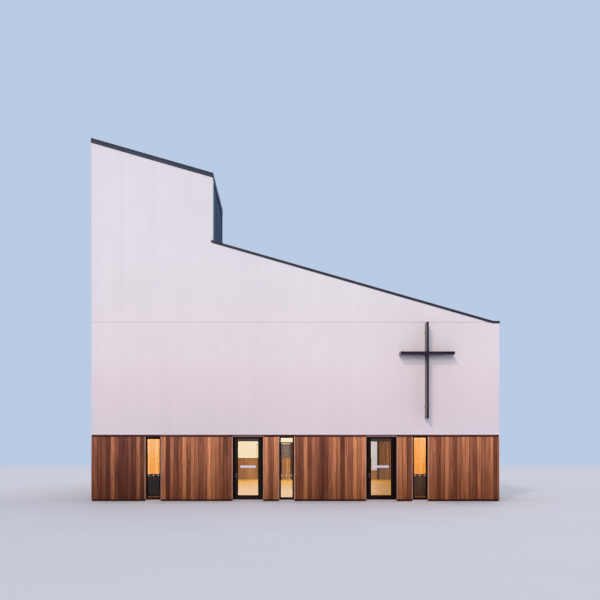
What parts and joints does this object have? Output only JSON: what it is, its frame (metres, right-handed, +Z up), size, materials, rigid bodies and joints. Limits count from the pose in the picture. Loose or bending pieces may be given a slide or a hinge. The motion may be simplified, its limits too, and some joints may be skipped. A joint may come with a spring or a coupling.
{
  "type": "modern church building",
  "caption": "Modern church: white rendered shell with a mono-pitch roof and corner tower on a timber-clad ground storey, with slit windows, hinged glazed doors and a wall cross.",
  "frame": {"origin": "on the ground, under the middle of the footprint", "axes": "+Z up, -Y out of the street front, +X to the right when facing that front"},
  "size_m": [13.78, 23.015, 12.2865],
  "materials": {
    "concrete": "matt",
    "timber_cladding": "matt",
    "dark_metal": "satin",
    "white_render": "matt",
    "glazing": "gloss",
    "roof_metal": "satin",
    "frame_metal": "satin",
    "handle_metal": "satin",
    "cross_steel": "satin",
    "wood_lining": "satin"
  },
  "bodies": {
    "building": {"floor_slab": "concrete", "front_pier_1": "timber_cladding", "front_pier_2": "timber_cladding", "front_pier_3": "timber_cladding", "front_pier_4": "timber_cladding", "front_pier_5": "timber_cladding", "front_pier_6": "timber_cladding", "front_head_beam": "dark_metal", "front_wall_lower": "white_render", "front_wall_joint": "white_render", "front_wall_upper": "white_render", "left_wall_upper": "white_render", "right_wall_upper": "white_render", "rear_wall_upper": "white_render", "left_wall_lower": "timber_cladding", "right_wall_lower": "timber_cladding", "rear_wall_lower": "timber_cladding", "left_windows": "glazing", "right_windows": "glazing", "rear_windows": "glazing", "main_roof": "roof_metal", "tower_roof": "roof_metal", "tower_right_wall": "roof_metal", "tower_rear_wall": "roof_metal", "front_coping": "dark_metal", "rear_coping": "dark_metal", "tower_front_coping": "dark_metal", "tower_left_coping": "dark_metal", "left_coping": "dark_metal", "right_gutter": "dark_metal", "slit_frame_1": "frame_metal", "slit_frame_2": "frame_metal", "slit_frame_3": "frame_metal", "slit_glass_1": "glazing", "slit_glass_2": "glazing", "slit_glass_3": "glazing", "door_1_frame": "frame_metal", "door_2_frame": "frame_metal", "cross": "cross_steel", "left_screen": "wood_lining", "right_screen": "wood_lining"},
    "door_1": {"door_1_leaf": "frame_metal", "door_1_glass": "glazing", "door_1_handle": "handle_metal"},
    "door_2": {"door_2_leaf": "frame_metal", "door_2_glass": "glazing", "door_2_handle": "handle_metal"}
  },
  "joints": [
    {"name": "door_1_swing", "type": "hinge", "parent": "building", "child": "door_1", "pos_m": [-1.152, -11.118, 0.06], "axis": [0, 0, 1], "range_deg": [0, 90]},
    {"name": "door_2_swing", "type": "hinge", "parent": "building", "child": "door_2", "pos_m": [3.353, -11.118, 0.06], "axis": [0, 0, 1], "range_deg": [0, 90]}
  ]
}
